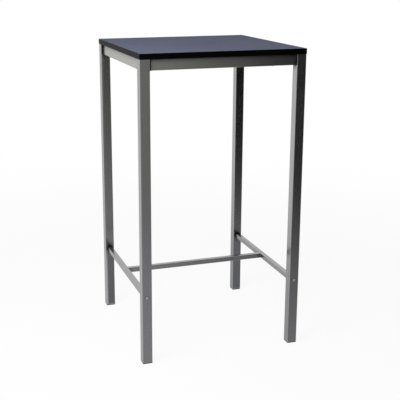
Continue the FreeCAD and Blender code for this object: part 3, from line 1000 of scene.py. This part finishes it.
# %% World
ROOM_LEVEL = 0.45
WHITE = (1, 1, 1, 1)
world = bpy.data.worlds.new("white_room")
bpy.context.scene.world = world
world.use_nodes = True
tree = world.node_tree
lighting = add_node(tree, "ShaderNodeBackground", WHITE, ROOM_LEVEL).outputs["Background"]
as_seen = add_node(tree, "ShaderNodeBackground", WHITE, 1.0).outputs["Background"]
feed(tree, tree.nodes["World Output"].inputs["Surface"],
     mix_shaders(tree, rays_that_see(tree), lighting, as_seen))

# %% [markdown]
# Two broad lamps shape the light: one from the left, close to the top, and a weak one from high on
# the right. They are left out of reflections, where they would break the fine edges into sparks.


# %% Lamps
def soft_lamp(name, size, power, place, aim):
    """A square area lamp at a place, turned to a point."""
    data = bpy.data.lights.new(name, "AREA")
    data.size = size
    data.energy = power
    lamp = put_in_scene(name, data)
    lamp.location = place
    lamp.visible_camera = False
    lamp.visible_glossy = False
    lamp.rotation_euler = Vector(np.subtract(aim, place)).to_track_quat("-Z", "Y").to_euler()


soft_lamp("key", size=1.2, power=34, place=(-1.15, -0.75, 1.7), aim=(0, 0, 1.0))
soft_lamp("fill", size=2.0, power=5, place=(1.2, 1.0, 3.4), aim=(0, 0, 0.6))

# %% [markdown]
# ## What the metal mirrors
# Metal is only as dark as what it mirrors. So a big grey card lies and stands before the table, on
# the dark side of the room. Only reflections see it. It is lighter on the floor and to the left, so
# the front faces of the legs run from dark above to lighter below, and from left to right they grow
# darker. Far to the right it lightens again, for the other sides of the table. Black flags round a
# real set do the same work.

# %% Grey card
CARD_NEAR, CARD_FAR, CARD_HALF, CARD_HEIGHT = -0.301, -2.2, 5.0, 4.0
CARD_LIFT = 0.004
CARD_BEND = (0.0, 0.3)
# Each change: where it starts and ends, in metres, and the card's level at both.
STANDING_FALL = (0.15, 1.1, 0.29, 0.0)
RIGHT_WALL_RISE = (1.6, 2.8, 0.0, 0.35)
LYING_FALL = (-0.1, 1.2, 0.42, 0.05)
DEPTH_RISE = (-2.2, -0.4, 0.8, 1.0)


def mirrored_sheet(name, outline, low_x, high_x):
    """A sheet of (y, z) points drawn from low x to high x, seen by glossy rays only."""
    outline = np.repeat(np.asarray(outline, float)[:, None], 2, axis=1)
    across = np.broadcast_to(np.array([[high_x], [low_x]]), outline.shape[:2] + (1,))
    made = grid_mesh(name, [np.concatenate([across, outline], 2)], close_columns=False)
    made.visible_camera = False
    made.visible_diffuse = False
    made.visible_shadow = False
    made.visible_transmission = False
    return made


def blank_material(name):
    """A material with nothing but its output; returns it, its tree and its surface socket."""
    material = bpy.data.materials.new(name)
    material.use_nodes = True
    tree = material.node_tree
    tree.nodes.remove(tree.nodes["Principled BSDF"])
    return material, tree, tree.nodes["Material Output"].inputs["Surface"]


card = mirrored_sheet("grey_card", [(CARD_NEAR, CARD_LIFT), (CARD_FAR, CARD_LIFT), (CARD_FAR, CARD_HEIGHT)],
                      -CARD_HALF, CARD_HALF)
# The card glows; its level is the painted reflection the metal shows, darker on the unlit side.
grey, tree, surface = blank_material("grey_card")
x, y, z = parts_of(tree, object_place(tree))
rising = remap(tree, z, *CARD_BEND)
standing = calc(tree, "MAXIMUM", remap(tree, x, *STANDING_FALL), remap(tree, x, *RIGHT_WALL_RISE))
lying = calc(tree, "MULTIPLY", remap(tree, x, *LYING_FALL), remap(tree, y, *DEPTH_RISE))
level = add_node(tree, "ShaderNodeMix", Factor=rising, A=lying, B=standing).outputs["Result"]
shades = tint(tree, rising, (0.98, 0.98, 1.025), (1.0, 1.0, 0.95))
feed(tree, surface, add_node(tree, "ShaderNodeEmission", shades, level).outputs["Emission"])
card.data.materials.append(grey)

# %% [markdown]
# The back legs face the dark space between the front legs. A thin dark net hangs there, denser
# towards the top and the right, and grey just over the floor. It is clear from behind, so only the
# back legs see it, and only in their gloss.

# %% Inner net
NET_Y, NET_LOW, NET_HIGH, NET_X = 0.25, 0.0, 1.04, (-0.29, 0.33)
NET_GREY = 0.24
NET_SLANT = 0.4
DENSITY_RISE = (0.5, 1.07, 0.15, 0.85)
GREY_FALL = (0.2, 0.3, 1.0, 0.0)
net = mirrored_sheet("inner_net", [(NET_Y, NET_LOW), (NET_Y, NET_HIGH)], *NET_X)
# The net is painted shade in the back legs' gloss, for the table's shadow over them; just over the floor it
# glows grey.
net_dark, tree, surface = blank_material("inner_net")
x, _, z = parts_of(tree, object_place(tree))
density = remap(tree, calc(tree, "MULTIPLY_ADD", x, NET_SLANT, z), *DENSITY_RISE)
low_part = remap(tree, z, *GREY_FALL)
from_behind = add_node(tree, "ShaderNodeNewGeometry").outputs["Backfacing"]
covered = calc(tree, "SUBTRACT", calc(tree, "MAXIMUM", density, low_part), from_behind, use_clamp=True)
clear = add_node(tree, "ShaderNodeBsdfTransparent").outputs["BSDF"]
grey_glow = calc(tree, "MULTIPLY", low_part, NET_GREY)
glow = add_node(tree, "ShaderNodeEmission", (0.97, 0.975, 1.05, 1), grey_glow)
feed(tree, surface, mix_shaders(tree, covered, clear, glow.outputs["Emission"]))
net.data.materials.append(net_dark)

# %% [markdown]
# ## Last steps
# Colours are shown as they are.

# %% Finish
bpy.context.scene.view_settings.view_transform = "Standard"
